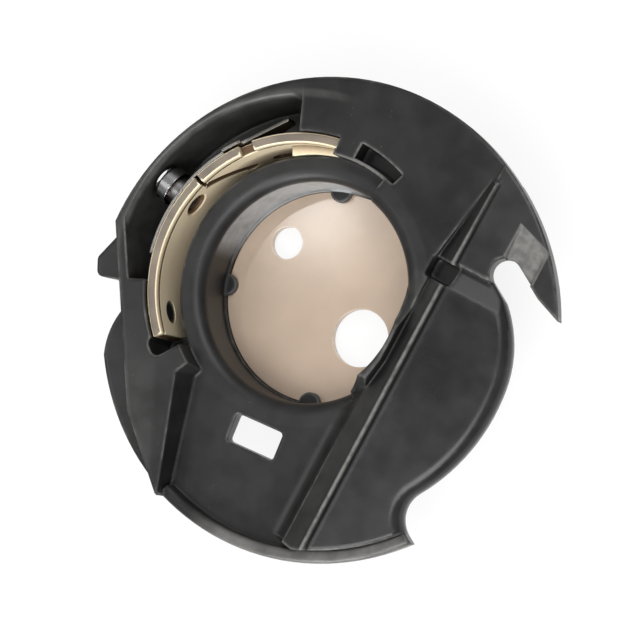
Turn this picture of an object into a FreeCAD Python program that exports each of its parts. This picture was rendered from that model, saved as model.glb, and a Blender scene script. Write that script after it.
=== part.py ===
import FreeCAD, Part
import math
import os
from FreeCAD import Vector

# Bobbin case of a drop-in sewing machine: a moulded case with a steel floor disc, a curved
# steel tension plate, and a leaf spring that presses the thread on that plate.
# Millimetres and degrees. The origin is on the bobbin axis, level with the underside, +Z is
# up, and the straight rib beside the cup runs along Y. Angles count from +X, turning left.

os.makedirs("parts", exist_ok=True)

# Cup for the bobbin
bobbin_diameter = 20.6
bobbin_clearance = 0.6
cup_depth = 8.0
cup_wall = 1.8
floor_thickness = 1.0
floor_ledge = 1.5
mouth_rounding = 1.3
shoulder_width = 2.4
shoulder_overrun = 22.0

# Steel floor disc in its seat, and the moulded nubs that hold it down
disc_thickness = 0.8
disc_clearance = 0.06
seat_step = 0.18
small_hole_radius = 1.65
small_hole_inset = 3.54
small_hole_angle = 156.0
large_hole_radius = 2.9
large_hole_inset = 5.21
large_hole_angle = -20.4
nub_radius = 1.1
nub_height = 0.6
nub_inset = 0.2
nub_first_angle = 20.5
nub_count = 4

# Round flange, set off from the bobbin axis, and what stands on it
flange_offset = 3.45
flange_angle = -29.5
housing_wall = 0.7
deck_thickness = 1.5
rim_height = 1.4
rim_width = 1.25
rim_rounding = 0.4
block_height = 2.6
crescent_rise = 0.6
crescent_end = 78.0
crescent_rounding = 1.6
lip_thickness = 1.3
lip_reach = 1.0
underside_wall = 1.6

# Straight rib beside the cup, its face that slopes to a groove on the left, and the gap across it
rib_wall = 0.4
rib_thickness = 1.9
rib_height = 3.8
rib_edge = 0.25
rib_slope = 33.7
rib_low_margin = 0.6
rib_high_margin = 0.2
rib_fall = 0.5
groove_widening = 0.8
groove_step_angle = -11.0
groove_shift = 0.5
groove_end_width = 0.65
gap_width = 2.1
gap_place = 8.0
gap_depth = 2.6

# Guard wall between the cup and the groove, ramped down at both ends
guard_height = 0.6
guard_start = -36.0
guard_end = 32.0
guard_rounding = 0.3
guard_low_run = 2.2
guard_high_run = 4.3

# Wing plate behind the rib, sloping to its rounded outer edge, and the tail below it
wing_height = 2.8
wing_slope = 8.0
wing_setback = 3.95
wing_thickness = 1.7
wing_rounding = 1.3
wing_low_angle = -30.5
wing_nose_angle = 8.0
tail_radius = 2.9

# Round-ended notch between the wing and the horn, with a facet on either side
notch_radius = 1.45
notch_inset = 4.5
notch_place_angle = 40.2
notch_angle = -31.0
notch_low_side = 2.2
notch_high_side = 3.6
horn_tip_angle = 27.0
facet_shift = 0.5
facet_width = 3.7
facet_length = 3.4
facet_depth = 0.9
valley_width = 2.3
valley_depth = 0.9

# Flat on the left, the stop tab and the slot in the flange, and the step down to the deck
flat_angle = 214.0
flat_margin = 0.1
flat_wall = 1.0
flat_end_angle = -127.0
flat_end_inset = 2.15
flat_corner_angle = -105.3
slot_angle = -163.0
slot_depth = 2.55
slot_floor_end = -157.0
slot_bulge = 0.9
slot_end = -144.0
tab_angle = -175.5
tab_reach = 1.7
tab_rounding = 0.7
step_angle = -118.8
step_margin = 1.6
step_end_angle = -103.0
step_slope = 1.6

# Rectangular window in the deck
window_length = 5.3
window_width = 2.9
window_margin = 4.2
window_place_angle = -81.2
window_turn = 6.0
window_rounding = 0.4

# Housing for the tension plate and its spring
housing_start = 86.0
housing_end = 234.0
housing_floor = 1.2
pocket_depth = 5.0
pocket_start = 115.0
pocket_end = 205.0
pocket_rounding = 1.0
pocket_clearance = 0.45
pocket_edge = 0.6
socket_start = 70.2
socket_bridge = 9.2
socket_wall = 0.3
socket_depth = 2.0
socket_margin = 0.3
end_slot_angle = 8.0
end_slot_depth = 3.0
end_slot_margin = 0.5
end_slot_rounding = 0.8

# Curved tension plate, round a centre of its own
plate_offset = 1.0
plate_offset_angle = 191.0
plate_gap = 0.7
plate_thickness = 1.0
plate_fit = 0.08
plate_start = 99.0
plate_end = 227.0
plate_setback = 0.4
plate_rounding = 0.2
plate_lip = 0.6
plate_groove_width = 0.4
plate_groove_depth = 0.25
plate_foot_angle = 22.0
plate_foot_height = 0.5
jaw_length = 6.0
peg_angle = 216.7
peg_drop = 3.55
peg_radius = 1.1
peg_fit = 0.06
spare_hole_angle = 130.5
spare_hole_drop = 5.6
slit_high_angle = 161.0
slit_low_angle = 144.0
slit_drop = 5.1
slit_width = 1.2
slit_entry_width = 0.4
slit_eye_radius = 0.7
mouth_angle = 138.0
mouth_width = 1.5
mouth_depth = 1.0

# Leaf spring
leaf_thickness = 0.3
leaf_gap = 0.1
leaf_pad_wall = 0.8
leaf_bend_angle = 139.0
leaf_flare = 5.2
leaf_flare_turn = 3.0
leaf_setback = 0.3
leaf_height = 4.6
leaf_tip_height = 1.8
leaf_lip_height = 0.7
leaf_lip_angle = 8.0

# Screws: one sets the tension, the other holds the root of the spring
screw_radius = 1.0
screw_edge = 0.3
thread_clearance = 0.05
leaf_hole_clearance = 0.3
driver_slot_width = 0.5
driver_slot_depth = 0.7
driver_hole_radius = 1.2
tension_angle = 170.4
tension_drop = 2.7
tension_collar_radius = 1.5
tension_collar_height = 1.0
tension_head_radius = 1.9
tension_head_height = 1.4
tension_head_gap = 0.25
tension_recess = 0.35
tension_countersink = 0.5
fixing_angle = 187.0
fixing_collar_height = 0.3
fixing_head_radius = 1.5
fixing_head_height = 0.9
fixing_head_gap = 0.1
fixing_skin = 0.35
fixing_margin = 0.2

# Radii that follow, from the bobbin outwards
origin = Vector(0, 0, 0)
up = Vector(0, 0, 1)
bore_radius = bobbin_diameter / 2 + bobbin_clearance
seat_radius = bore_radius - seat_step
shoulder_radius = bore_radius + shoulder_width
plate_inner = shoulder_radius + plate_gap
plate_outer = plate_inner + plate_thickness
leaf_inner = plate_outer + leaf_gap
leaf_outer = leaf_inner + leaf_thickness
tension_seat = leaf_outer + tension_head_gap
fixing_seat = leaf_outer + fixing_head_gap
pocket_radius = tension_seat + tension_collar_height + tension_head_height + pocket_clearance
flat_distance = pocket_radius + flat_margin
rib_left = bore_radius + rib_wall
rib_right = rib_left + rib_thickness
rib_crest = rib_right - rib_edge
rib_core = rib_crest - rib_edge
groove_step = bore_radius * math.sin(math.radians(groove_step_angle))

# Levels that follow, from the underside up
disc_top = floor_thickness + disc_thickness
seat_top = disc_top + nub_height
deck_top = cup_depth
deck_under = deck_top - deck_thickness
pocket_floor = deck_top - pocket_depth
housing_under = pocket_floor - housing_floor
rim_top = deck_top + rim_height
block_top = deck_top + block_height
wing_top = deck_top + wing_height
rib_top = deck_top + rib_height
plate_top = block_top - plate_setback
leaf_top = plate_top - leaf_setback
tension_level = plate_top - tension_drop
peg_level = plate_top - peg_drop
crescent_top = block_top + crescent_rise
guard_top = rib_top + guard_height
leaf_hole_radius = screw_radius + leaf_hole_clearance
leaf_pad_half = leaf_hole_radius + leaf_pad_wall
leaf_pad_angle = math.degrees(leaf_pad_half / leaf_inner)
fixing_level = pocket_floor + fixing_margin + leaf_pad_half
clear_top = guard_top + 1


def polar(centre, radius, angle, level=0):
    """Point at a radius and an angle round a centre."""
    turn = math.radians(angle)
    return Vector(centre.x + radius * math.cos(turn), centre.y + radius * math.sin(turn), level)


plate_centre = polar(origin, plate_offset, plate_offset_angle)


def at_level(point, level):
    """The same plan point at another height."""
    return Vector(point.x, point.y, level)


def plate_of(points, push):
    """Straight-sided outline pushed along a vector into a block."""
    return Part.Face(Part.makePolygon(points + points[:1])).extrude(push)


def prism(points, low, high):
    """Upright block on a straight-sided plan."""
    return plate_of([at_level(point, low) for point in points], Vector(0, 0, high - low))


def drum(centre, radius, low, high):
    """Upright cylinder."""
    return Part.makeCylinder(radius, high - low, at_level(centre, low))


def ring(centre, inner, outer, start, end, low, high):
    """Upright piece of a ring between two angles."""
    angles = (start, (start + end) / 2, end)
    inside = [polar(centre, inner, angle, low) for angle in angles]
    outside = [polar(centre, outer, angle, low) for angle in reversed(angles)]
    edges = [
        Part.Arc(*inside).toShape(),
        Part.makeLine(inside[2], outside[0]),
        Part.Arc(*outside).toShape(),
        Part.makeLine(outside[2], inside[0]),
    ]
    return Part.Face(Part.Wire(edges)).extrude(Vector(0, 0, high - low))


def spun(edges, start, end):
    """Section drawn at angle 0, turned round the bobbin axis from one angle to another."""
    section = Part.Face(Part.Wire(edges))
    section.rotate(origin, up, start)
    return section.revolve(origin, up, end - start)


def quarter(start, end, centre):
    """Quarter-round edge between two points of an upright section."""
    radius = (start - centre).Length
    middle = centre + (start + end - centre * 2).normalize() * radius
    return Part.Arc(start, middle, end).toShape()


def turned(shape, angle, level):
    """Shape made along +X, turned to an angle round the plate's centre and lifted to a level."""
    shape.rotate(origin, up, angle)
    shape.translate(at_level(plate_centre, level))
    return shape


def rod(radius, start, end, angle, level):
    """Cylinder that points away from the plate's centre."""
    return turned(Part.makeCylinder(radius, end - start, Vector(start, 0, 0), Vector(1, 0, 0)), angle, level)


def upright_edges(shape):
    """Straight upright edges of a shape."""
    def is_upright(edge):
        along = edge.Vertexes[-1].Point - edge.Vertexes[0].Point
        return abs(along.x) + abs(along.y) < 1e-6 < abs(along.z)
    return [edge for edge in shape.Edges if is_upright(edge)]


def rounded_mouth(rounding, level, start, end):
    """Cutter that rounds the top edge of the bobbin space between two angles."""
    low = Vector(bore_radius, 0, level - rounding)
    far = Vector(bore_radius + rounding, 0, level)
    over = Vector(0, 0, 1)
    centre = Vector(bore_radius + rounding, 0, level - rounding)
    inside = Vector(rounding, 0, 0)
    edges = [quarter(low, far, centre)]
    inner = low - inside
    edges += Part.makePolygon([far, far + over, inner + over * (rounding + 1), inner, low]).Edges
    return spun(edges, start, end)


flange_centre = polar(origin, flange_offset, flange_angle)
flange_radius = pocket_radius + (flange_centre - plate_centre).Length + housing_wall
wing_radius = flange_radius - wing_setback
reach = 3 * flange_radius
notch_place = polar(flange_centre, flange_radius - notch_inset, notch_place_angle)
horn_tip = polar(flange_centre, flange_radius, horn_tip_angle)
tail_place = polar(flange_centre, wing_radius + tail_radius, wing_low_angle)
step_high = polar(origin, shoulder_radius + step_margin, step_angle)
step_low = polar(flange_centre, flange_radius + 1, step_end_angle)
flat_normal = polar(origin, 1, flat_angle)
flat_along = Vector(-flat_normal.y, flat_normal.x, 0)


def notch_point(along, across, level=0):
    """Point measured along the notch from the centre of its round end, and across it."""
    axis = polar(origin, 1, notch_angle)
    return at_level(notch_place + axis * along + Vector(-axis.y, axis.x, 0) * across, level)


def wing_level(x):
    """Height of the sloping wing plate."""
    return wing_top - math.tan(math.radians(wing_slope)) * (x - rib_right)


def make_cup():
    """Cup wall, with the housing of the tension plate on its left."""
    cup = drum(origin, bore_radius + cup_wall, 0, deck_top)
    housing = drum(flange_centre, flange_radius, housing_under, deck_top)
    return cup.fuse(housing.common(ring(origin, bore_radius, reach, housing_start, housing_end,
                                        housing_under, deck_top)))


def make_deck():
    """Flat flange with its stop tab."""
    deck = drum(flange_centre, flange_radius, deck_under, deck_top)
    out = flange_radius + tab_reach
    third = (slot_angle - tab_angle) / 3
    plan = [polar(flange_centre, flange_radius - slot_depth, slot_angle),
            polar(flange_centre, flange_radius - slot_depth, tab_angle),
            polar(flange_centre, flange_radius, tab_angle),
            polar(flange_centre, out, tab_angle + 2 * third),
            polar(flange_centre, out - tab_reach / 4, slot_angle)]
    tab = prism(plan, deck_under, deck_top)
    outer = [edge for edge in upright_edges(tab)
             if (at_level(edge.CenterOfMass, 0) - flange_centre).Length > flange_radius + tab_reach / 3]
    return deck.fuse(tab.makeFillet(tab_rounding, outer))


def make_left_block():
    """Raised block on the left, with its flat outer side and the sloped step to the deck."""
    whole = drum(flange_centre, flange_radius, deck_under, block_top)
    across = (step_low - step_high).normalize()
    slope = Vector(-across.y, across.x, 0) * step_slope
    plan = [plate_centre, polar(plate_centre, reach, pocket_start), Vector(-reach, reach, 0),
            Vector(-reach, -reach, 0)]
    low_plan = plan + [step_low, step_high + slope]
    high_plan = plan + [step_low, step_high]
    outlines = [Part.makePolygon([at_level(point, level) for point in points + points[:1]])
                for points, level in ((low_plan, deck_under), (high_plan, block_top))]
    block = whole.common(Part.makeLoft(outlines, True, True))
    flat_start = flat_normal * flat_distance - flat_along * reach
    corner = polar(flange_centre, flange_radius - flat_end_inset, flat_end_angle)
    corner_end = polar(flange_centre, flange_radius, flat_corner_angle)
    away = flat_normal * reach
    beyond = [flat_start, corner, corner_end, corner_end + away, flat_start + away]
    return block.cut(prism(beyond, deck_top, block_top))


def make_crescent():
    """Domed plate between the housing and the rib, rounded down to the cup."""
    lower = drum(flange_centre, flange_radius, deck_under, block_top)
    dome = Part.makeCone(flange_radius, flange_radius / 2, crescent_rise, at_level(flange_centre, block_top))
    plan = [plate_centre, Vector(rib_core, plate_centre.y, 0), Vector(rib_core, reach, 0),
            polar(plate_centre, reach, pocket_start)]
    plate = lower.fuse(dome).common(prism(plan, deck_under, clear_top))
    return plate.cut(rounded_mouth(crescent_rounding, crescent_top, guard_start, crescent_end))


def make_guard():
    """Wall that stands between the cup and the groove, ramped down at both ends."""
    low = Vector(bore_radius, 0, guard_top - guard_rounding)
    high = Vector(bore_radius + guard_rounding, 0, guard_top)
    edges = [quarter(low, high, Vector(high.x, 0, low.z))]
    edges += Part.makePolygon([high, Vector(rib_crest, 0, guard_top), Vector(rib_crest, 0, deck_under),
                               Vector(bore_radius, 0, deck_under), low]).Edges
    first = bore_radius * math.sin(math.radians(guard_start))
    last = bore_radius * math.sin(math.radians(guard_end))
    roof = [Vector(0, first, deck_under), Vector(0, first, deck_top),
            Vector(0, first + guard_low_run, guard_top), Vector(0, last - guard_high_run, guard_top),
            Vector(0, last, crescent_top - crescent_rounding), Vector(0, last, deck_under)]
    return spun(edges, guard_start, guard_end).common(plate_of(roof, Vector(reach, 0, 0)))


def rib_face(x):
    """Height of the rib's face, which slopes to the left from its crest."""
    return rib_top - math.tan(math.radians(rib_slope)) * (rib_crest - x)


def rib_ends():
    """Ends of the rib along Y, inside the rim."""
    half_chord = math.sqrt((flange_radius - rim_width) ** 2 - (rib_right - flange_centre.x) ** 2)
    return flange_centre.y - half_chord - rib_low_margin, flange_centre.y + half_chord - rib_high_margin


def rib_lines():
    """Left edge and crest of the rib's upper half, at the gap and at the far end."""
    near = [rib_left - groove_shift, rib_face(rib_left - groove_shift), rib_top]
    far = [rib_crest - groove_end_width, block_top, rib_top - rib_fall]
    return zip((near, far), (gap_place, rib_ends()[1]))


def groove_cuts():
    """Groove on the left of the rib, wider on the deck and tapering to the far end."""
    def outline(left, level, crest, y):
        points = [Vector(left, y, level), Vector(rib_crest, y, crest), Vector(rib_crest, y, clear_top),
                  Vector(left, y, clear_top)]
        return Part.makePolygon(points + points[:1])
    wide = rib_left - groove_widening
    stations = [(wide, -reach), (wide, bore_radius * math.sin(math.radians(guard_start))),
                (rib_left, groove_step), (rib_left, gap_place)]
    lower = [outline(left, rib_face(left), rib_top, y) for left, y in stations]
    upper = [outline(left, level, crest, y) for (left, level, crest), y in rib_lines()]
    pairs = list(zip(lower, lower[1:])) + [tuple(upper)]
    return [Part.makeLoft(list(pair), True, True) for pair in pairs]


def make_rib():
    """Straight rib: its crest on the right, its face to the left and its curved foot on the deck."""
    low_end = rib_ends()[0]
    left = rib_left - groove_widening
    tip = Vector(left, low_end, rib_face(left))
    toe = Vector(left - (tip.z - deck_top), low_end, deck_top)
    edges = [quarter(tip, toe, Vector(toe.x, low_end, tip.z))]
    edges += Part.makePolygon([toe, Vector(toe.x, low_end, deck_under), Vector(rib_right, low_end, deck_under),
                               Vector(rib_right, low_end, rib_top - rib_edge),
                               Vector(rib_crest, low_end, rib_top), tip]).Edges
    lower = Part.Face(Part.Wire(edges)).extrude(Vector(0, gap_place - low_end, 0))
    outlines = []
    for (left, level, crest), y in rib_lines():
        points = [Vector(left, y, deck_under), Vector(rib_right, y, deck_under),
                  Vector(rib_right, y, crest - rib_edge), Vector(rib_crest, y, crest), Vector(left, y, level)]
        outlines.append(Part.makePolygon(points + points[:1]))
    rib = lower.fuse(Part.makeLoft(outlines, True, True))
    return rib.common(drum(flange_centre, flange_radius - rim_width, deck_under, rib_top))


def wing_slab():
    """Sloping slab as wide as the flange, from the rib outwards."""
    near = rib_core
    far = flange_centre.x + flange_radius + 1
    section = [Vector(near, -reach, deck_under), Vector(far, -reach, deck_under),
               Vector(far, -reach, wing_level(far)), Vector(near, -reach, wing_level(near))]
    return plate_of(section, Vector(0, 2 * reach, 0))


def wing_nose():
    """Centre and radius of the arc that leaves the wing's side smoothly for the notch."""
    outward = polar(origin, 1, wing_nose_angle)
    target = notch_point(notch_low_side, -notch_radius) - flange_centre
    gap = wing_radius - target.dot(outward)
    radius = (target.dot(target) - 2 * wing_radius * target.dot(outward) + wing_radius ** 2) / (2 * gap)
    return flange_centre + outward * (wing_radius - radius), radius


def wing_side(nose_end, level):
    """Arcs along the wing from the tail to an angle on the nose."""
    centre, radius = wing_nose()
    tail = [polar(tail_place, tail_radius, wing_low_angle + turn, level) for turn in (270, 225, 180)]
    middle = (wing_low_angle + wing_nose_angle) / 2
    side = [polar(flange_centre, wing_radius, angle, level) for angle in (middle, wing_nose_angle)]
    nose = [polar(centre, radius, angle, level) for angle in ((wing_nose_angle + nose_end) / 2, nose_end)]
    arcs = [tail, [tail[2]] + side, [side[1]] + nose]
    return [Part.Arc(*points).toShape() for points in arcs]


def make_wing():
    """Wing plate with its rounded outer edge, sloping down and away from the rib."""
    low = deck_under
    near = rib_core
    centre, radius = wing_nose()
    eye_angle = math.degrees(math.atan2(notch_place.y - centre.y, notch_place.x - centre.x))
    arcs = wing_side(eye_angle, low)
    first = polar(tail_place, tail_radius, wing_low_angle + 270, low)
    last = polar(centre, radius, eye_angle, low)
    out = first + polar(origin, reach, wing_low_angle)
    edges = arcs + Part.makePolygon([last, Vector(near, last.y, low), Vector(near, -2 * reach, low),
                                     Vector(out.x, -2 * reach, low), out, first]).Edges
    block = Part.Face(Part.Wire(Part.sortEdges(edges)[0])).extrude(Vector(0, 0, clear_top - low))
    wing = wing_slab().common(block)

    def is_side(edge):
        middle = at_level(edge.valueAt((edge.FirstParameter + edge.LastParameter) / 2), 0)
        return edge.BoundBox.ZMin > deck_top and abs((middle - flange_centre).Length - wing_radius) < 0.01
    wing = wing.makeFillet(wing_rounding, [edge for edge in wing.Edges if is_side(edge)])
    return wing.common(drum(flange_centre, flange_radius - rim_width, deck_under, clear_top))


def make_horn():
    """Horn above the notch, in the same slope as the wing."""
    near = rib_core
    eye = notch_point(0, -notch_radius)
    plan = [Vector(near, eye.y, 0), eye, notch_place, notch_point(reach, 0), Vector(reach, reach, 0),
            Vector(near, reach, 0)]
    horn = wing_slab().common(drum(flange_centre, flange_radius, deck_under, clear_top))
    return horn.common(prism(plan, deck_under, clear_top))


def right_cuts():
    """What is cut away from the flange between the tail and the horn."""
    low = -1
    centre, radius = wing_nose()
    eye = [notch_point(0, -notch_radius, low), notch_point(-notch_radius, 0, low),
           notch_point(0, notch_radius, low)]
    corner = notch_point(notch_low_side, -notch_radius, low)
    first = polar(tail_place, tail_radius, wing_low_angle + 270, low)
    out = first + polar(origin, reach, wing_low_angle)
    edges = wing_side(math.degrees(math.atan2(corner.y - centre.y, corner.x - centre.x)), low)
    edges += [Part.makeLine(corner, eye[0]), Part.Arc(*eye).toShape()]
    tip = at_level(horn_tip, low)
    edges += Part.makePolygon([eye[2], notch_point(notch_high_side, notch_radius, low), tip,
                               tip + Vector(reach, 0, 0), out, first]).Edges
    return [Part.Face(Part.Wire(edges)).extrude(Vector(0, 0, clear_top - low))]


def make_rim():
    """Low rim with a rounded top along the lower edge of the flange."""
    rim = ring(flange_centre, flange_radius - rim_width, flange_radius, flat_corner_angle, wing_low_angle,
               deck_under, rim_top)
    crown = [edge for edge in rim.Edges if edge.BoundBox.ZMin > deck_top and edge.Length > 2 * rim_width]
    return rim.makeFillet(rim_rounding, crown)


def facet_cut():
    """Sloped facet on the horn beside the notch."""
    near = notch_point(-notch_radius / 2, notch_radius / 2) - Vector(facet_shift, 0, 0)
    far = near + Vector(0, facet_width, 0)
    surface = wing_level(near.x)
    section = [at_level(near, surface - facet_depth), at_level(far, surface), at_level(far, clear_top),
               at_level(near, clear_top)]
    run = facet_length * math.cos(math.radians(wing_slope))
    drop = facet_length * math.sin(math.radians(wing_slope))
    return plate_of(section, Vector(run, -facet_length / 3, -drop))


def valley_cut():
    """Sloped facet between the gap in the rib and the notch."""
    side = gap_place - gap_width / 2
    far = side + valley_width
    section = [Vector(rib_right, side, wing_top), Vector(rib_right, far, wing_top - valley_depth),
               Vector(rib_right, far, clear_top), Vector(rib_right, side, clear_top)]
    end = notch_place.x + notch_radius
    return plate_of(section, Vector(end - rib_right, 0, wing_level(end) - wing_top))


def gap_cut():
    """Gap across the rib."""
    low, high = gap_place - gap_width / 2, gap_place + gap_width / 2
    left, right = rib_left - groove_shift, rib_right + rib_edge
    gap = prism([Vector(left, low, 0), Vector(right, low, 0), Vector(right, high, 0), Vector(left, high, 0)],
                rib_top - gap_depth, clear_top)
    return gap.makeFillet(gap_width / 6, upright_edges(gap))


def window_cut():
    """Rectangular window through the deck."""
    half_length, half_width = window_length / 2, window_width / 2
    corners = [Vector(-half_length, -half_width, 0), Vector(half_length, -half_width, 0),
               Vector(half_length, half_width, 0), Vector(-half_length, half_width, 0)]
    window = prism(corners, 0, clear_top)
    window = window.makeFillet(window_rounding, upright_edges(window))
    window.rotate(origin, up, window_turn)
    window.translate(polar(origin, bore_radius + window_margin, window_place_angle))
    return window


def slot_cut():
    """Slot in the flange between the stop tab and the bulge at the lower left."""
    low = -1
    inner = flange_radius - slot_depth
    floor = [polar(flange_centre, inner, angle, low) for angle in (slot_angle, slot_floor_end)]
    bulge = polar(flange_centre, flange_radius - slot_bulge, (slot_floor_end + slot_end) / 2, low)
    end = polar(flange_centre, flange_radius, slot_end, low)
    edges = [Part.Arc(floor[1], bulge, end).toShape()]
    edges += Part.makePolygon([end, polar(flange_centre, reach, slot_end, low),
                               polar(flange_centre, reach, slot_angle, low), floor[0], floor[1]]).Edges
    return Part.Face(Part.Wire(edges)).extrude(Vector(0, 0, deck_top - low))


def underside_cuts():
    """Hollows that leave the crescent a thin lip and even walls, and the wing and horn a thin plate."""
    low = deck_under - 1
    inner = plate_outer + plate_fit + underside_wall
    edge = flange_radius - lip_reach
    crescent = ring(origin, inner, reach, crescent_end - 30, housing_start - 6, low, block_top - underside_wall)
    crescent = crescent.common(drum(flange_centre, edge - underside_wall, low, clear_top))
    lip = ring(flange_centre, edge, reach, horn_tip_angle, housing_start, low, block_top - lip_thickness)
    left = rib_right + underside_wall
    region = prism([Vector(left, -reach, 0), Vector(reach, -reach, 0), Vector(reach, reach, 0),
                    Vector(left, reach, 0)], 0, clear_top)
    wing = wing_slab()
    wing.translate(Vector(0, 0, -wing_thickness))
    return [crescent, lip.cut(region), wing.common(region)]


def bore_cuts():
    """Bobbin space, the disc's seat, the opening in its floor, the shoulder and its rounded mouth."""
    bore = drum(origin, bore_radius, seat_top, clear_top)
    seat = drum(origin, seat_radius, floor_thickness, seat_top)
    opening = drum(origin, bore_radius - floor_ledge, -1, clear_top)
    shoulder = ring(origin, bore_radius - 1, shoulder_radius, crescent_end, 360 + step_angle + shoulder_overrun,
                    deck_top, clear_top)
    mouth = rounded_mouth(mouth_rounding, deck_top, crescent_end, 360 + guard_start)
    return [bore, seat, opening, shoulder, mouth]


def pocket_cuts():
    """Pocket for the leaf spring, slots for the tension plate and a hole for the screwdriver."""
    outer = plate_outer + plate_fit
    jaw = plate_inner - plate_fit
    pocket = ring(plate_centre, shoulder_radius, pocket_radius, pocket_start, pocket_end,
                  pocket_floor, clear_top)
    pocket = pocket.makeFillet(pocket_rounding, upright_edges(pocket))
    near = flat_normal * (flat_distance - flat_wall) - flat_along * reach
    far = near + flat_along * 2 * reach
    outside = prism([near, far, far + flat_normal * reach, near + flat_normal * reach], 0, clear_top)
    socket_floor = block_top - socket_depth
    space = ring(plate_centre, bore_radius, outer, plate_start + jaw_length, plate_end, pocket_floor, clear_top)
    space = space.fuse(ring(plate_centre, bore_radius, outer, plate_start, plate_end, deck_top, clear_top))
    end_slot = ring(plate_centre, bore_radius, outer + end_slot_margin, plate_end, plate_end + end_slot_angle,
                    deck_top - end_slot_depth, clear_top)
    end_slot = end_slot.makeFillet(end_slot_rounding, upright_edges(end_slot))
    end_slot = end_slot.fuse(ring(plate_centre, bore_radius, outer, plate_end - 0.5, plate_end + end_slot_angle / 2,
                                  deck_top - end_slot_depth, clear_top))
    socket = ring(plate_centre, bore_radius, outer + socket_margin, socket_start, plate_start - socket_bridge,
                  socket_floor, clear_top)
    return [
        pocket.cut(outside),
        space.cut(drum(origin, shoulder_radius, 0, clear_top)),
        end_slot.cut(drum(origin, shoulder_radius, 0, clear_top)),
        socket.cut(drum(origin, shoulder_radius + socket_wall, 0, clear_top)),
        ring(plate_centre, jaw, outer, plate_start - 0.5, plate_end + 0.5, pocket_floor, clear_top),
        rod(driver_hole_radius, pocket_radius - 1, flange_radius, tension_angle, tension_level),
    ]


def make_nubs():
    """Half-round nubs that hold the floor disc down."""
    wall = drum(origin, bore_radius + cup_wall / 2, disc_top, seat_top)
    angles = [nub_first_angle + 360 / nub_count * index for index in range(nub_count)]
    places = [polar(origin, bore_radius - nub_inset, angle) for angle in angles]
    return [drum(place, nub_radius, disc_top, seat_top).common(wall) for place in places]


def make_case_body():
    """The moulded case in one piece."""
    beside = make_crescent().fuse(make_guard()).cut(groove_cuts())
    body = make_cup().fuse([make_deck(), make_left_block(), beside, make_rib(), make_rim()])
    body = body.fuse([make_wing(), make_horn()])
    cuts = right_cuts() + [facet_cut(), valley_cut(), gap_cut(), window_cut(), slot_cut()]
    body = body.cut(cuts + underside_cuts() + bore_cuts() + pocket_cuts())
    peg = rod(peg_radius, plate_inner + peg_fit, plate_outer + 1, peg_angle, peg_level)
    body = body.fuse(make_nubs() + [peg]).removeSplitter()

    def is_pocket_edge(edge):
        round_edge = isinstance(edge.Curve, Part.Circle) and edge.BoundBox.ZMin > block_top - 0.01
        return round_edge and abs(edge.Curve.Radius - pocket_radius) < 0.01
    return body.makeFillet(pocket_edge, [edge for edge in body.Edges if is_pocket_edge(edge)])


def make_floor_disc():
    """Steel disc on the cup's floor ledge, with its two round holes."""
    radius = seat_radius - disc_clearance
    small_place = polar(origin, radius - small_hole_inset, small_hole_angle)
    large_place = polar(origin, radius - large_hole_inset, large_hole_angle)
    small = drum(small_place, small_hole_radius, 0, disc_top + 1)
    large = drum(large_place, large_hole_radius, 0, disc_top + 1)
    return drum(origin, radius, floor_thickness, disc_top).cut([small, large])


def make_tension_plate():
    """Curved plate with a lip, a foot on the deck, the thread slit and its mouth, and holes for screws and peg."""
    plate = ring(plate_centre, plate_inner, plate_outer, plate_start, plate_end, pocket_floor, plate_top)
    rims = [edge for edge in plate.Edges if edge.BoundBox.ZMin > plate_top - plate_rounding]
    plate = plate.makeFillet(plate_rounding, [edge for edge in rims if edge.Length > 2 * plate_thickness])
    foot = ring(plate_centre, bore_radius, plate_inner + plate_thickness / 2, plate_start + 0.5,
                plate_start + plate_foot_angle, deck_top + plate_fit, deck_top + plate_foot_height)
    plate = plate.fuse(foot.cut(drum(origin, shoulder_radius + plate_fit, 0, clear_top)))
    groove_top = plate_top - plate_lip
    groove = ring(plate_centre, plate_inner - 1, plate_inner + plate_groove_depth, plate_start - 1, plate_end + 1,
                  groove_top - plate_groove_width, groove_top)
    start, end = plate_inner - 2, plate_outer + 2
    middle = (slit_high_angle + slit_low_angle) / 2
    half = plate_inner * math.sin(math.radians(slit_high_angle - middle))
    under = groove_top - plate_groove_width - slit_width / 2
    run = Vector(0, 2 * half, under - plate_top + slit_drop)
    side = Vector(0, -run.z, run.y).normalize() * (slit_width / 2)
    low = Vector(start, -half, plate_top - slit_drop)
    high = low + run
    slit = plate_of([low - side, high - side, high + side, low + side], Vector(end - start, 0, 0))
    slit = turned(slit, middle, 0)
    entry = Part.makeBox(end - start, slit_entry_width, plate_top - under + 1, Vector(start, -slit_entry_width / 2, 0))
    entry = turned(entry, slit_high_angle, under)
    eye = rod(slit_eye_radius, start, end, slit_low_angle, plate_top - slit_drop)
    mouth = Part.makeBox(end - start, mouth_width, 2 * mouth_depth,
                         Vector(start, -mouth_width / 2, -mouth_depth))
    tapped = screw_radius + thread_clearance
    sink = Part.makeCone(tapped + tension_countersink, tapped, tension_countersink,
                         Vector(plate_inner - tension_countersink / 2, 0, 0), Vector(1, 0, 0))
    return plate.cut([
        groove, slit, entry, eye,
        turned(mouth, mouth_angle, plate_top),
        rod(tapped, start, end, tension_angle, tension_level),
        turned(sink, tension_angle, tension_level),
        rod(tapped, plate_inner + fixing_skin, end, fixing_angle, fixing_level),
        rod(peg_radius + peg_fit, start, end, peg_angle, peg_level),
        rod(peg_radius, start, end, spare_hole_angle, plate_top - spare_hole_drop),
    ])


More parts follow.
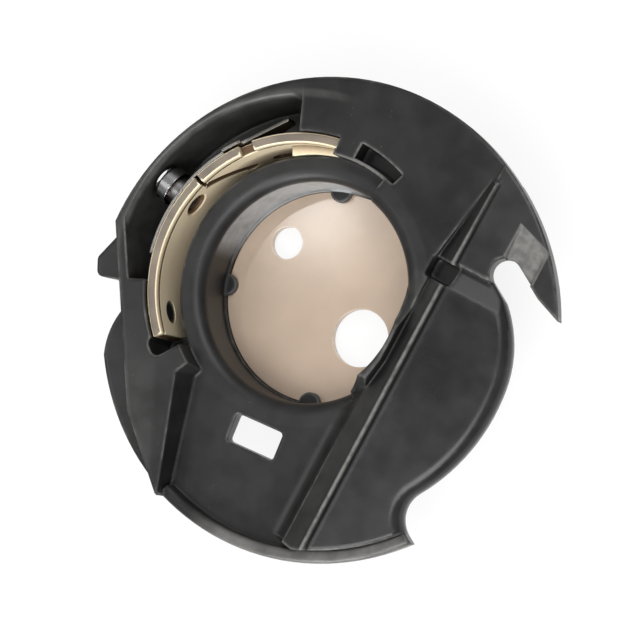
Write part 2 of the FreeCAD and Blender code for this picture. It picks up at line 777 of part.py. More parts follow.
def make_leaf_spring():
    """Leaf that follows the plate, then leaves it on a straight flare for the thread."""
    low = leaf_top - leaf_height
    root = fixing_angle + leaf_pad_angle
    angles = (root, (root + leaf_bend_angle) / 2, leaf_bend_angle)
    inside = [polar(plate_centre, leaf_inner, angle, low) for angle in angles]
    outside = [polar(plate_centre, leaf_outer, angle, low) for angle in reversed(angles)]
    along = polar(origin, 1, leaf_bend_angle - 90 + leaf_flare_turn) * leaf_flare
    edges = [Part.Arc(*inside).toShape()]
    edges += Part.makePolygon([inside[2], inside[2] + along, outside[0] + along, outside[0]]).Edges
    edges += [Part.Arc(*outside).toShape(), Part.makeLine(outside[2], inside[0])]
    strip = Part.Face(Part.Wire(edges)).extrude(Vector(0, 0, leaf_height))
    pad = ring(plate_centre, leaf_inner, leaf_outer, fixing_angle - leaf_pad_angle, root,
               pocket_floor + fixing_margin, leaf_top)
    lip = ring(plate_centre, leaf_inner, leaf_outer, leaf_bend_angle, leaf_bend_angle + leaf_lip_angle,
               leaf_top - leaf_thickness, leaf_top + leaf_lip_height)
    outward = polar(origin, 1, leaf_bend_angle)
    bend = plate_centre + outward * (leaf_outer + 1)
    end = bend + along * 1.1
    tip_low = leaf_top - leaf_tip_height
    taper = plate_of([at_level(bend, low - 1), at_level(bend, low), at_level(end, tip_low),
                      at_level(end, low - 1)], outward * -3)
    holes = [
        rod(leaf_hole_radius, plate_inner, pocket_radius, tension_angle, tension_level),
        rod(leaf_hole_radius, plate_inner, pocket_radius, fixing_angle, fixing_level),
    ]
    return strip.fuse([pad, lip]).cut([taper] + holes).removeSplitter()


def make_screw(head_radius, head_height, collar_radius, collar_height, tip, seat, blades):
    """Screw along +X from its tip, with a collar on its seat, a rounded head and driver slots."""
    x_axis = Vector(1, 0, 0)
    shank = Part.makeCylinder(screw_radius, seat - tip, Vector(tip, 0, 0), x_axis)
    point = [edge for edge in shank.Edges if edge.BoundBox.XMax < tip + screw_edge]
    shank = shank.makeChamfer(screw_edge, point)
    collar = Part.makeCylinder(collar_radius, collar_height, Vector(seat, 0, 0), x_axis)
    head = Part.makeCylinder(head_radius, head_height, Vector(seat + collar_height, 0, 0), x_axis)
    end = seat + collar_height + head_height
    crown = [edge for edge in head.Edges if edge.BoundBox.XMin > end - screw_edge]
    head = head.makeFillet(screw_edge, crown)
    slots = []
    for turn in blades:
        slot = Part.makeBox(driver_slot_depth + 1, 4 * head_radius, driver_slot_width,
                            Vector(end - driver_slot_depth, -2 * head_radius, -driver_slot_width / 2))
        slot.rotate(origin, x_axis, turn)
        slots.append(slot)
    return shank.fuse([collar, head]).cut(slots).removeSplitter()


def make_tension_screw():
    """Slotted screw that presses the leaf on the plate."""
    screw = make_screw(tension_head_radius, tension_head_height, tension_collar_radius, tension_collar_height,
                       plate_inner + tension_recess, tension_seat, [25])
    return turned(screw, tension_angle, tension_level)


def make_fixing_screw():
    """Cross-slotted screw that holds the root of the leaf."""
    screw = make_screw(fixing_head_radius, fixing_head_height, fixing_head_radius, fixing_collar_height,
                       plate_inner + fixing_skin + thread_clearance, fixing_seat, [45, 135])
    return turned(screw, fixing_angle, fixing_level)


pieces = {
    "case_body": make_case_body(),
    "floor_disc": make_floor_disc(),
    "tension_plate": make_tension_plate(),
    "leaf_spring": make_leaf_spring(),
    "tension_screw": make_tension_screw(),
    "spring_fixing_screw": make_fixing_screw(),
}

for name, shape in pieces.items():
    shape.exportStep("parts/" + name + ".step")
    print(name, "solids", len(shape.Solids), "valid", shape.isValid(), "volume", round(shape.Volume, 1))
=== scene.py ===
import math

import bpy
import numpy as np
from mathutils import Matrix, Vector

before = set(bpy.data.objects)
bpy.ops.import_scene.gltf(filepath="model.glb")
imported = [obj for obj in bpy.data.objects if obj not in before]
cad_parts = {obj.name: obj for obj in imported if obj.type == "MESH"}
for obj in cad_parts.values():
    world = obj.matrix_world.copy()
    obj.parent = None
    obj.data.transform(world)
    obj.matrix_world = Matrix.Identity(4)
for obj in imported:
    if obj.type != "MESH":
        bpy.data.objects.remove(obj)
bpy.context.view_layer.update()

bl_info = {
    "name": "Bobbin case",
    "version": (1, 0, 0),
    "blender": (4, 5, 0),
    "location": "View3D > Sidebar > Bobbin case",
    "description": "Finishes a drop-in bobbin case: moulded body, disc, tension plate, leaf and screws",
    "category": "Object",
}

# Patterns are laid in millimetres, from the bobbin's axis and the underside of the cup
MILLIMETRES = 1000.0

# Centres in plan that distances are measured from
CENTRES = {"cup": (0.0, 0.0), "flange": (3.0, -1.7), "plate": (-0.98, -0.19)}

# Lines in plan that distances are measured along, as their x and y parts
LINES = {
    "swept_line": (-0.77, 0.64),
    "facet_line": (0.325, 1.0),
    "block_line": (1.0, 0.5),
    "leaf_line": (0.656, 0.755),
}

# Places that differ from the rest of a piece, as limits on x, y, z and the distances above. Two numbers are
# a slope, where the place is 0 and where it is 1. Three are a stretch: both ends and their soft edge.
PLACES = {
    "facet": {"x": (16.6, 20.3, 0.12), "facet_line": (17.4, 20.85, 0.1), "z": (8.0, 8.4)},
    "rib_crest": {"x": (12.8, 13.1, 0.1), "z": (11.3, 11.6)},
    "rib_foot": {"x": (10.48, 10.68, 0.1), "y": (-8.0, -15.0), "z": (10.0, 10.5, 0.1)},
    "groove": {"x": (9.8, 12.6, 0.3), "y": (7.3, 6.6), "z": (8.05, 8.4)},
    "wing": {"x": (13.2, 14.0), "y": (7.5, 6.0)},
    "rim": {"flange": (22.0, 22.5), "y": (-14.0, -18.0), "x": (0.0, 5.0)},
    "block": {"block_line": (-15.6, -16.6), "y": (-11.0, -16.0), "z": (10.2, 10.5)},
    "pocket": {"plate": (15.5, 18.9, 0.1), "x": (-1.0, -2.0), "y": (-8.0, -6.5), "z": (10.5, 10.3)},
    "pocket_lip": {"plate": (18.45, 19.2, 0.25), "x": (-3.0, -6.0), "y": (-8.0, -6.5), "z": (9.5, 10.0)},
    "by_plate_foot": {"x": (-2.5, 4.5, 0.5), "y": (12.2, 16.2, 0.3)},
    "cup_mouth": {"cup": (13.4, 13.2)},
    "cup_wall": {"cup": (10.66, 11.03, 0.05), "z": (7.0, 6.6)},
    "lit_wall_side": {"swept_line": (7.19, 9.16)},
    "plate_top": {"z": (9.7, 9.9)},
    "plate_holes": {"plate": (14.12, 14.94, 0.05), "z": (9.6, 9.2)},
    "plate_inside": {"plate": (14.45, 14.3)},
    "leaf_root": {"leaf_line": (0.0, -0.6)},
}

# How much of the pale dust colour a place gets: dust, and painted light where the place catches light
DUST_AND_LIGHT = {"groove": 0.3, "pocket_lip": 0.65, "pocket": 0.65, "block": 0.3}

# What a place adds to the roughness of the moulded skin
ROUGHER = {"facet": 0.15, "cup_mouth": 0.1, "cup_wall": 0.1, "wing": -0.07}

# Shares of red, green and blue in a lighter or darker tone of a colour
MOTTLED = (1.9, 1.9, 1.9)
# Painted shade in the plastic's corners
SHADED = (0.45, 0.45, 0.45)
# Paler tone for random mottle on steel and for painted highlights on its edges
POLISH_AND_HIGHLIGHT = (1.25, 1.25, 1.25)
# Painted shade: a dark brown tone for corners and hole walls in steel
PAINTED_SHADE_TONE = (0.14, 0.1, 0.075)

# Limits that most values of a noise lie between
SPREAD = (0.3, 0.7)

# How full the stuff is under a flat face and under an edge, and how far off a wall still gets painted shade
# in a corner
FLAT_TO_EDGE = (0.88, 0.5)
CORNER_REACH = 0.0025
RAYS = 8

# Streaks in rolled steel: how many to a radian round the plate, and to a millimetre of height
STREAKS_ROUND = 3.0
STREAKS_UP = 9.0

# Camera: its place in metres, its right, up and back as directions, its film and the depth it sees
CAMERA_PLACE = (0.07547, 0.01311, 0.21225)
CAMERA_AXES = ((0.82165, 0.46676, -0.32711), (-0.46111, 0.88169, 0.09988), (0.33503, 0.06877, 0.93969))
SENSOR_WIDTH = 36.0
NEAR = 0.01
FAR = 20.0

# Floor: rings and sides of its mesh, its second tone, and the light it gives off and throws back when seen
FLOOR_RADII = (0.02, 0.08, 0.3, 1.2)
FLOOR_SIDES = 96
FLOOR_TONE = (0.86, 0.86, 0.86)
FLOOR_GLOW = 0.87
FLOOR_FAINT = (0.14, 0.14, 0.14, 1.0)

# Colours of the light tent: white to the camera, and a little warm on the case
WHITE = (1.0, 1.0, 1.0, 1.0)
WARM = (1.0, 0.99, 0.97, 1.0)

# Soft lamps: place and target, side of the square in metres, and power in watts
LAMPS = {
    "key_softbox": ((0.15, -0.18, 0.44), (0.0, 0.0, 0.008), 0.26, 1.25),
    "far_softbox": ((0.1, 0.22, 0.43), (0.0, 0.0, 0.008), 0.26, 0.75),
    "front_softbox": ((0.1, -0.42, 0.2), (-0.005, 0.0, 0.008), 0.2, 1.3),
    "left_softbox": ((-0.33, -0.12, 0.4), (-0.01, -0.01, 0.008), 0.2, 0.27),
    "disc_glint": ((-0.176, -0.006, 0.45), (0.002, 0.01, 0.002), 0.02, 0.024),
    "back_softbox": ((-0.03, 0.28, 0.36), (0.012, 0.008, 0.01), 0.18, 0.14),
}


class CaseSettings(bpy.types.PropertyGroup):
    """Finish of the moulded case."""

    colour: bpy.props.FloatVectorProperty(
        name="Plastic", description="Colour of the moulded plastic", subtype="COLOR",
        size=3, min=0, max=1, default=(0.011, 0.011, 0.0112))
    # Used for worn edges, and for painted highlights on edges, the rib's crest and foot, the rim and the
    # facet by the notch
    worn_and_lit: bpy.props.FloatVectorProperty(
        name="Worn edge", description="Colour of the plastic where it is rubbed", subtype="COLOR",
        size=3, min=0, max=1, default=(0.16, 0.158, 0.15))
    # Painted light: the pale grey painted on one side of the cup's lower wall stands in for the light it
    # catches
    wall_light: bpy.props.FloatVectorProperty(
        name="Swept wall", description="Colour of the cup's wall where the bobbin rubs it grey",
        subtype="COLOR", size=3, min=0, max=1, default=(0.43, 0.445, 0.455))
    # Used for dust, and as painted light on the groove, the pocket's lip and the left block
    dust_and_light: bpy.props.FloatVectorProperty(
        name="Dust", description="Colour of the plastic where dust gathers", subtype="COLOR",
        size=3, min=0, max=1, default=(0.075, 0.075, 0.072))
    lint: bpy.props.FloatVectorProperty(
        name="Lint", description="Colour of the small specks of lint", subtype="COLOR",
        size=3, min=0, max=1, default=(0.2, 0.2, 0.19))
    roughness: bpy.props.FloatProperty(
        name="Roughness", description="Roughness of the moulded skin", subtype="FACTOR",
        min=0, max=1, default=0.31)
    edge: bpy.props.FloatProperty(
        name="Edge", description="Rounding of the moulded edges", subtype="DISTANCE", unit="LENGTH",
        min=0, default=0.0006)
    wear: bpy.props.FloatProperty(
        name="Wear", description="Width of the rubbed line along an edge", subtype="DISTANCE",
        unit="LENGTH", min=0, default=0.0004)
    grain: bpy.props.FloatProperty(
        name="Grain", description="Size of the fine grain in the moulded skin", subtype="DISTANCE",
        unit="LENGTH", min=0.00001, default=0.00016)


class SteelSettings(bpy.types.PropertyGroup):
    """Finishes of the steel pieces."""

    disc: bpy.props.FloatVectorProperty(
        name="Disc", description="Colour of the floor disc", subtype="COLOR",
        size=3, min=0, max=1, default=(0.52, 0.405, 0.31))
    plate: bpy.props.FloatVectorProperty(
        name="Plate", description="Colour of the tension plate", subtype="COLOR",
        size=3, min=0, max=1, default=(0.95, 0.755, 0.53))
    # Painted shade: the plate's faces that look straight up are painted this darker colour
    painted_top_light: bpy.props.FloatVectorProperty(
        name="Plate top", description="Colour of the tension plate's ground top edge", subtype="COLOR",
        size=3, min=0, max=1, default=(0.125, 0.104, 0.09))
    # The leaf's dark colour is partly painted shade, for the shade behind the plate's slit
    leaf: bpy.props.FloatVectorProperty(
        name="Leaf", description="Colour of the leaf spring", subtype="COLOR",
        size=3, min=0, max=1, default=(0.13, 0.12, 0.108))
    # Painted highlight along the top edge of the leaf's root
    painted_leaf_glint: bpy.props.FloatVectorProperty(
        name="Leaf edge", description="Colour of the leaf spring's bright top edge", subtype="COLOR",
        size=3, min=0, max=1, default=(0.85, 0.83, 0.8))
    screw: bpy.props.FloatVectorProperty(
        name="Screw", description="Colour of the screws", subtype="COLOR",
        size=3, min=0, max=1, default=(0.36, 0.36, 0.365))
    edge: bpy.props.FloatProperty(
        name="Edge", description="Rounding of the steel edges", subtype="DISTANCE", unit="LENGTH",
        min=0, default=0.00012)
    wear: bpy.props.FloatProperty(
        name="Wear", description="Width of the bright line along an edge", subtype="DISTANCE",
        unit="LENGTH", min=0, default=0.0003)


class StageSettings(bpy.types.PropertyGroup):
    """Camera, floor and light."""

    lens: bpy.props.FloatProperty(
        name="Lens", description="Focal length of the camera", subtype="DISTANCE_CAMERA",
        min=1, default=126.01)
    floor: bpy.props.FloatVectorProperty(
        name="Floor", description="Colour of the floor", subtype="COLOR",
        size=3, min=0, max=1, default=(0.9, 0.9, 0.9))
    tent: bpy.props.FloatProperty(
        name="Tent", description="Brightness of the light tent round the case", min=0, default=0.32)


class Value:
    """A socket of a finish. Arithmetic on it adds Math nodes to that finish."""

    def __init__(self, finish, socket):
        self.finish = finish
        self.socket = socket

    def math(self, operation, first, second):
        """Adds one Math node."""
        return self.finish.node("ShaderNodeMath", {"operation": operation}, {0: first, 1: second})

    def __add__(self, other):
        return self.math("ADD", self, other)

    __radd__ = __add__

    def __sub__(self, other):
        return self.math("SUBTRACT", self, other)

    def __rsub__(self, other):
        return self.math("SUBTRACT", other, self)

    def __mul__(self, other):
        return self.math("MULTIPLY", self, other)

    __rmul__ = __mul__

    def __pow__(self, other):
        return self.math("POWER", self, other)

    def __rpow__(self, other):
        return self.math("POWER", other, self)


class Finish:
    """A procedural material, or the world's light, while its nodes are being laid."""

    def __init__(self, owner):
        self.owner = owner
        owner.use_nodes = True
        self.tree = owner.node_tree
        self.tree.nodes.clear()

    def node(self, kind, settings=None, inputs=None, output=0):
        """Adds a node: first its settings, then the values or links of its sockets."""
        made = self.tree.nodes.new(kind)
        for name, value in (settings or {}).items():
            setattr(made, name, value)
        for name, value in (inputs or {}).items():
            if isinstance(value, Value):
                self.tree.links.new(value.socket, made.inputs[name])
            else:
                made.inputs[name].default_value = value
        return Value(self, made.outputs[output])

    def millimetres(self):
        """Object coordinates in millimetres."""
        place = self.node("ShaderNodeTexCoord", output="Object")
        return self.node("ShaderNodeVectorMath", {"operation": "SCALE"}, {0: place, "Scale": MILLIMETRES})

    def parts_of(self, vector):
        """X, Y and Z of a vector."""
        first = self.node("ShaderNodeSeparateXYZ", None, {0: vector})
        return [Value(self, socket) for socket in first.socket.node.outputs]

    def noise(self, vector, size, detail):
        """Noise between 0 and 1 with features of a size, in the vector's own unit."""
        return self.node("ShaderNodeTexNoise", {"noise_dimensions": "3D"},
                         {"Vector": vector, "Scale": 1.0 / size, "Detail": detail})

    def ramp(self, value, low, high, start=0.0, end=1.0):
        """Smooth change from start to end while a value goes from low to high."""
        return self.node("ShaderNodeMapRange", {"interpolation_type": "SMOOTHSTEP"},
                         {"Value": value, "From Min": low, "From Max": high, "To Min": start, "To Max": end})

    def within(self, value, low, high, soft):
        """1 while a value lies between two limits, falling to 0 over a soft edge at either."""
        return self.ramp(value, low - soft, low + soft) * self.ramp(value, high + soft, high - soft)

    def mix(self, factor, first, second):
        """Colour between two colours, which are the node's inputs 6 and 7 and its output 2."""
        ends = [end if isinstance(end, Value) else (*end, 1.0) for end in (first, second)]
        return self.node("ShaderNodeMix", {"data_type": "RGBA"}, {0: factor, 6: ends[0], 7: ends[1]}, 2)

    def surface(self, shader):
        """Ends the nodes in a shader."""
        world = isinstance(self.owner, bpy.types.World)
        end = self.tree.nodes.new("ShaderNodeOutputWorld" if world else "ShaderNodeOutputMaterial")
        self.tree.links.new(shader.socket, end.inputs["Surface"])


class Spot:
    """The point of a piece that a finish is laid on, in millimetres."""

    def __init__(self, finish):
        self.finish = finish
        self.place = finish.millimetres()
        self.axes = dict(zip("xyz", finish.parts_of(self.place)))

    def distance(self, name):
        """One of x, y and z, the distance from a centre in plan, or the distance along a line in plan."""
        x = self.axes["x"]
        y = self.axes["y"]
        if name in CENTRES:
            centre = CENTRES[name]
            return ((x - centre[0]) ** 2.0 + (y - centre[1]) ** 2.0) ** 0.5
        if name in LINES:
            line = LINES[name]
            return x * line[0] + y * line[1]
        return self.axes[name]

    def mask(self, place):
        """1 in a named place and 0 outside it: the product of its slopes and stretches."""
        parts = []
        for name, limits in PLACES[place].items():
            slope = len(limits) == 2
            shape = self.finish.ramp if slope else self.finish.within
            parts.append(shape(self.distance(name), *limits))
        return math.prod(parts)

    def total(self, shares):
        """Sum of the masks of named places, each times its share."""
        return sum(self.mask(place) * share for place, share in shares.items())


def toned(colour, shares):
    """A lighter or darker tone of a colour."""
    return tuple(min(1.0, channel * share) for channel, share in zip(colour, shares))


def wear(finish, edge, width, alone=False):
    """Rounded normal at edges, how much a point lies on an outer edge, and how open it lies.

    An outer edge is where the stuff just under the surface is thin, and a corner is where the space just
    over it is small. With alone, only the piece itself closes a space.
    """
    rounded = finish.node("ShaderNodeBevel", {"samples": RAYS}, {"Radius": edge})
    filled = finish.node("ShaderNodeAmbientOcclusion", {"samples": RAYS, "inside": True, "only_local": True},
                         {"Distance": width}, "AO")
    opened = finish.node("ShaderNodeAmbientOcclusion", {"samples": RAYS, "only_local": alone},
                         {"Distance": CORNER_REACH}, "AO")
    return rounded, finish.ramp(filled, *FLAT_TO_EDGE), opened


def moulded_plastic(settings):
    """Satin black plastic: fine grain, uneven sheen, wear and dust, painted highlights, light and corner
    shade.
    """
    finish = Finish(bpy.data.materials.new("moulded_plastic"))
    spot = Spot(finish)
    rounded, edge, opened = wear(finish, settings.edge, settings.wear)
    grain = finish.noise(spot.place, size=settings.grain * MILLIMETRES, detail=3.0)
    fine = finish.noise(spot.place, size=0.7, detail=4.0)
    patch = finish.noise(spot.place, size=2.2, detail=3.0)
    stretch = finish.noise(spot.place, size=4.0, detail=2.0)
    cloud = finish.noise(spot.place, size=7.0, detail=3.0)
    dots = finish.node("ShaderNodeTexVoronoi", {"feature": "F1"}, {"Vector": spot.place, "Scale": 0.9})

    mottle = finish.ramp(cloud * 0.6 + patch * 0.4, 0.35, 0.65)
    # Dust, and painted light: the groove, the pocket's lip and the left block are painted paler where they
    # catch light
    dusty_and_lit = spot.total(DUST_AND_LIGHT) * finish.ramp(patch, *SPREAD, start=0.5)
    # Painted shade: darker where the space over the surface is small, in corners and recesses
    corner = finish.ramp(opened, 0.75, 0.25)
    # Painted light: one side of the cup's lower wall is painted pale grey for the light it catches
    painted_wall_light = spot.mask("cup_wall") * spot.mask("lit_wall_side")
    painted_wall_light = painted_wall_light * finish.ramp(cloud + fine * 0.4, 0.4, 0.9, start=0.5)
    # Edges: partly wear, partly painted highlights; the rib's crest, the rim and the rib's foot get painted
    # highlights
    worn_and_lit = edge * finish.ramp(stretch, 0.38, 0.62, start=0.2) + edge * spot.mask("by_plate_foot")
    worn_and_lit = (worn_and_lit + spot.mask("rib_crest")) * finish.ramp(fine, 0.25, 0.7, start=0.35)
    worn_and_lit = worn_and_lit + spot.mask("rim") * finish.ramp(patch, *SPREAD, start=0.5, end=0.85)
    worn_and_lit = worn_and_lit + spot.mask("rib_foot") * finish.ramp(fine, *SPREAD, start=0.2, end=0.7)
    # The facet by the notch: worn, and painted lighter as a highlight
    rubbed_and_lit = spot.mask("facet") * finish.ramp(fine, *SPREAD, start=0.55)
    speck = finish.ramp(dots, 0.05, 0.025) * finish.ramp(cloud, 0.45, 0.6) * 0.7

    colour = finish.mix(mottle, settings.colour, toned(settings.colour, MOTTLED))
    colour = finish.mix(dusty_and_lit, colour, settings.dust_and_light)
    colour = finish.mix(corner, colour, toned(settings.colour, SHADED))
    colour = finish.mix(painted_wall_light, colour, settings.wall_light)
    colour = finish.mix(worn_and_lit, colour, settings.worn_and_lit)
    colour = finish.mix(rubbed_and_lit, colour, settings.worn_and_lit)
    colour = finish.mix(speck, colour, settings.lint)
    rough = settings.roughness + (cloud - 0.5) * 0.12 + (patch - 0.5) * 0.1 + spot.total(ROUGHER)
    normal = finish.node("ShaderNodeBump", None, {
        "Strength": 0.25, "Distance": 0.00002, "Height": grain + fine * 0.6, "Normal": rounded})
    finish.surface(finish.node("ShaderNodeBsdfPrincipled", None, {
        "Base Color": colour, "Roughness": rough, "Normal": normal, "Specular IOR Level": 0.41}))
    return finish.owner


def satin_steel(name, shade, steel, streaks, metal, roughness, coat=0.0, alone=False,
                painted_top_light=None, top=None, shadowed=None, bright=None):
    """Satin steel: streaks, mottled sheen, polished and painted bright edges, painted brown shade in
    corners.

    A coat is a clear lacquer. With alone, only the piece itself makes corners. A colour given for the faces
    that look straight up, in the place named top, is painted light on them: shade on the plate, a glint on
    the leaf. Painted dark brown shade darkens a named place, and the edges are then bright only in a second
    named place.
    """
    finish = Finish(bpy.data.materials.new(name))
    spot = Spot(finish)
    rounded, edge, opened = wear(finish, steel.edge, steel.wear, alone)
    lines = streaks(spot)
    cloud = finish.noise(spot.place, size=4.0, detail=3.0)
    fine = finish.noise(spot.place, size=0.12, detail=2.0)
    # Painted shade: a dark brown tone for corners and hole walls
    dark = toned(shade, PAINTED_SHADE_TONE)
    # Paler tone: random mottle, and painted highlights on edges
    light = toned(shade, POLISH_AND_HIGHLIGHT)

    colour = finish.mix(finish.ramp(cloud, *SPREAD) * 0.35 + lines * 0.25, shade, light)
    # Painted light on faces that look straight up: shade on the plate's top, a glint on the leaf's top edge
    if top:
        level = finish.parts_of(finish.node("ShaderNodeTexCoord", output="Normal"))[2]
        flat = finish.ramp(level, 0.9, 0.98) * finish.ramp(lines, 0.2, 0.8, start=0.8)
        colour = finish.mix(flat * spot.mask(top), colour, painted_top_light)
    # Painted shade in corners
    colour = finish.mix(finish.ramp(opened, 0.78, 0.42), colour, dark)
    # Painted shade on the walls of the plate's holes and slit, whose edges stay bright only on the inner
    # half
    if shadowed:
        colour = finish.mix(spot.mask(shadowed), colour, dark)
        edge = edge * spot.mask(bright)
    # Bright edges: partly polish, partly painted highlight, where the edge lies open
    colour = finish.mix(edge * finish.ramp(opened, 0.55, 0.85), colour, light)
    rough = roughness + (cloud - 0.5) * 0.12 + (lines - 0.5) * 0.1 - edge * 0.12
    normal = finish.node("ShaderNodeBump", None, {
        "Strength": 0.2, "Distance": 0.000015, "Height": lines + fine * 0.2, "Normal": rounded})
    finish.surface(finish.node("ShaderNodeBsdfPrincipled", None, {
        "Base Color": colour, "Metallic": metal, "Roughness": rough, "Normal": normal,
        "Coat Weight": coat, "Coat Roughness": 0.12}))
    return finish.owner


def blasted(spot):
    """Even grain of a blasted face."""
    return spot.finish.noise(spot.place, size=0.25, detail=3.0)


def rolled_round(spot):
    """Streaks that follow the plate round its centre: long along the turn and short up its height."""
    finish = spot.finish
    centre = CENTRES["plate"]
    turn = finish.node("ShaderNodeMath", {"operation": "ARCTAN2"},
                       {0: spot.axes["y"] - centre[1], 1: spot.axes["x"] - centre[0]})
    lay = finish.node("ShaderNodeCombineXYZ", None,
                      {"X": turn * STREAKS_ROUND, "Y": spot.axes["z"] * STREAKS_UP})
    return finish.noise(lay, size=1.0, detail=3.0)


def pale_floor(settings):
    """Pale floor that lights the case, and is white to the camera, in a mirror and through a hole."""
    finish = Finish(bpy.data.materials.new("pale_floor"))
    seen = sum(finish.node("ShaderNodeLightPath", output=f"Is {ray} Ray")
               for ray in ("Camera", "Glossy", "Transmission"))
    grain = finish.noise(finish.millimetres(), size=3.0, detail=2.0)
    tone = finish.mix(grain * 0.05, settings.floor, FLOOR_TONE)
    lit = finish.node("ShaderNodeBsdfDiffuse", None, {"Color": tone})
    faint = finish.node("ShaderNodeBsdfDiffuse", None, {"Color": FLOOR_FAINT})
    glow = finish.node("ShaderNodeEmission", None, {"Color": WHITE, "Strength": FLOOR_GLOW})
    white = finish.node("ShaderNodeAddShader", None, {0: faint, 1: glow})
    shown = finish.node("ShaderNodeClamp", None, {"Value": seen})
    finish.surface(finish.node("ShaderNodeMixShader", None, {0: shown, 1: lit, 2: white}))
    return finish.owner


def light_tent(settings):
    """World that is white to the camera, and dimmer and a little warm to the case."""
    tent = Finish(bpy.data.worlds.new("tent"))
    seen = tent.node("ShaderNodeLightPath", output="Is Camera Ray")
    around = tent.node("ShaderNodeBackground", None, {"Color": WARM, "Strength": settings.tent})
    behind = tent.node("ShaderNodeBackground", None, {"Color": WHITE, "Strength": 1.0})
    tent.surface(tent.node("ShaderNodeMixShader", None, {0: seen, 1: around, 2: behind}))
    return tent.owner


def round_floor():
    """Flat round mesh: the point at radius r and angle t is (r cos t, r sin t, 0), round a middle point."""
    angles = np.linspace(0, 2 * np.pi, FLOOR_SIDES, endpoint=False)
    flat = np.zeros((len(FLOOR_RADII), FLOOR_SIDES))
    grid = np.stack([np.outer(FLOOR_RADII, np.cos(angles)), np.outer(FLOOR_RADII, np.sin(angles)), flat], -1)
    points = np.concatenate([np.zeros((1, 3)), grid.reshape(-1, 3)])
    index = 1 + np.arange(flat.size).reshape(flat.shape)
    after = np.roll(index, -1, 1)
    rings = np.stack([index[:-1], index[1:], after[1:], after[:-1]], -1).reshape(-1, 4)
    middle = np.stack([np.zeros(FLOOR_SIDES, int), index[0], after[0]], -1)
    mesh = bpy.data.meshes.new("floor")
    mesh.from_pydata(points.tolist(), [], middle.tolist() + rings.tolist())
    return mesh


def paint(name, material):
    """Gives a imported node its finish."""
    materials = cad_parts[name].data.materials
    materials.clear()
    materials.append(material)


def put(scene, name, data):
    """Puts a mesh, a lamp or a camera into the scene."""
    made = bpy.data.objects.new(name, data)
    scene.collection.objects.link(made)
    return made


class BOBBIN_CASE_OT_case_body(bpy.types.Operator):
    """Give the moulded case its satin black finish"""

    bl_idname = "bobbin_case.case_body"
    bl_label = "Moulded case"

    def execute(self, context):
        paint("case_body", moulded_plastic(context.scene.bobbin_case_plastic))
        return {"FINISHED"}


class BOBBIN_CASE_OT_floor_disc(bpy.types.Operator):
    """Give the floor disc its lacquered satin steel"""

    bl_idname = "bobbin_case.floor_disc"
    bl_label = "Floor disc"

    def execute(self, context):
        steel = context.scene.bobbin_case_steel
        paint("floor_disc", satin_steel(
            "disc_steel", steel.disc, steel, blasted, metal=0.55, roughness=0.5, coat=1.0, alone=True))
        return {"FINISHED"}


class BOBBIN_CASE_OT_tension_plate(bpy.types.Operator):
    """Give the tension plate and its leaf their rolled steel"""

    bl_idname = "bobbin_case.tension_plate"
    bl_label = "Tension plate and leaf"

    def execute(self, context):
        steel = context.scene.bobbin_case_steel
        paint("tension_plate", satin_steel(
            "plate_steel", steel.plate, steel, rolled_round, metal=0.15, roughness=0.42, alone=True,
            painted_top_light=steel.painted_top_light, top="plate_top", shadowed="plate_holes", bright="plate_inside"))
        paint("leaf_spring", satin_steel(
            "leaf_steel", steel.leaf, steel, rolled_round, metal=1.0, roughness=0.4,
            painted_top_light=steel.painted_leaf_glint, top="leaf_root"))
        return {"FINISHED"}


class BOBBIN_CASE_OT_screws(bpy.types.Operator):
    """Give the two screws their turned steel"""

    bl_idname = "bobbin_case.screws"
    bl_label = "Screws"

    def execute(self, context):
        steel = context.scene.bobbin_case_steel
        material = satin_steel("screw_steel", steel.screw, steel, blasted, metal=1.0, roughness=0.3)
        paint("tension_screw", material)
        paint("spring_fixing_screw", material)
        return {"FINISHED"}


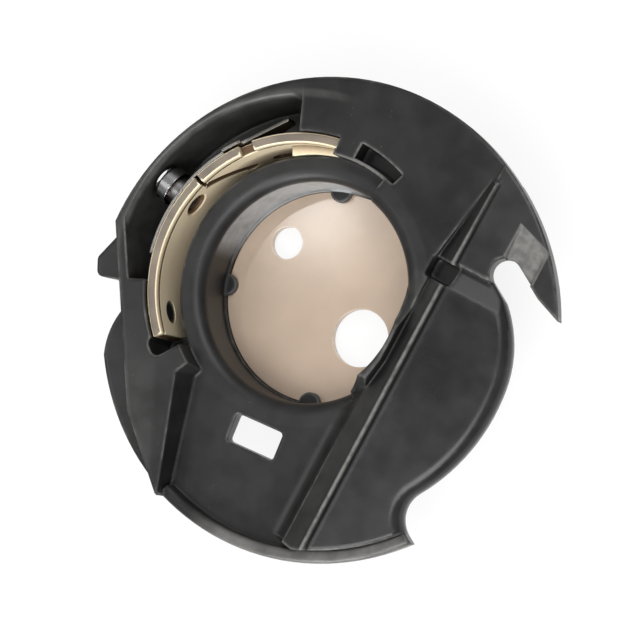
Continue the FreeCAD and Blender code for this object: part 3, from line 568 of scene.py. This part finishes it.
class BOBBIN_CASE_OT_stage(bpy.types.Operator):
    """Set up the camera, the pale floor and the soft light"""

    bl_idname = "bobbin_case.stage"
    bl_label = "Stage"

    def execute(self, context):
        scene = context.scene
        settings = scene.bobbin_case_stage
        scene.view_settings.view_transform = "Standard"
        scene.world = light_tent(settings)

        film = bpy.data.cameras.new("camera")
        film.sensor_width = SENSOR_WIDTH
        film.lens = settings.lens
        film.clip_start = NEAR
        film.clip_end = FAR
        scene.camera = put(scene, "camera", film)
        turned = Matrix(CAMERA_AXES).transposed().to_4x4()
        scene.camera.matrix_world = Matrix.Translation(CAMERA_PLACE) @ turned

        floor = put(scene, "floor", round_floor())
        floor.data.materials.append(pale_floor(settings))

        for name, (place, target, side, power) in LAMPS.items():
            light = bpy.data.lights.new(name, "AREA")
            light.size = side
            light.energy = power
            lamp = put(scene, name, light)
            lamp.location = place
            lamp.rotation_euler = (Vector(target) - Vector(place)).to_track_quat("-Z", "Y").to_euler()
        return {"FINISHED"}


class VIEW3D_PT_bobbin_case(bpy.types.Panel):
    """Lists the settings and the pieces of the bobbin case"""

    bl_label = "Bobbin case"
    bl_space_type = "VIEW_3D"
    bl_region_type = "UI"
    bl_category = "Bobbin case"

    def draw(self, context):
        scene = context.scene
        for settings in (scene.bobbin_case_plastic, scene.bobbin_case_steel, scene.bobbin_case_stage):
            box = self.layout.box()
            for name in type(settings).__annotations__:
                box.prop(settings, name)
        for operator in operators:
            self.layout.operator(operator.bl_idname)


operators = (
    BOBBIN_CASE_OT_case_body,
    BOBBIN_CASE_OT_floor_disc,
    BOBBIN_CASE_OT_tension_plate,
    BOBBIN_CASE_OT_screws,
    BOBBIN_CASE_OT_stage,
)
classes = (CaseSettings, SteelSettings, StageSettings, *operators, VIEW3D_PT_bobbin_case)


def register():
    """Registers every class and hangs the settings on the scene."""
    for made in classes:
        bpy.utils.register_class(made)
    bpy.types.Scene.bobbin_case_plastic = bpy.props.PointerProperty(type=CaseSettings)
    bpy.types.Scene.bobbin_case_steel = bpy.props.PointerProperty(type=SteelSettings)
    bpy.types.Scene.bobbin_case_stage = bpy.props.PointerProperty(type=StageSettings)


def unregister():
    """Takes the settings off the scene and unregisters every class."""
    del bpy.types.Scene.bobbin_case_stage
    del bpy.types.Scene.bobbin_case_steel
    del bpy.types.Scene.bobbin_case_plastic
    for made in reversed(classes):
        bpy.utils.unregister_class(made)


def main():
    """Finishes each piece and sets the stage."""
    register()
    bpy.ops.bobbin_case.case_body()
    bpy.ops.bobbin_case.floor_disc()
    bpy.ops.bobbin_case.tension_plate()
    bpy.ops.bobbin_case.screws()
    bpy.ops.bobbin_case.stage()


if __name__ == "__main__":
    main()
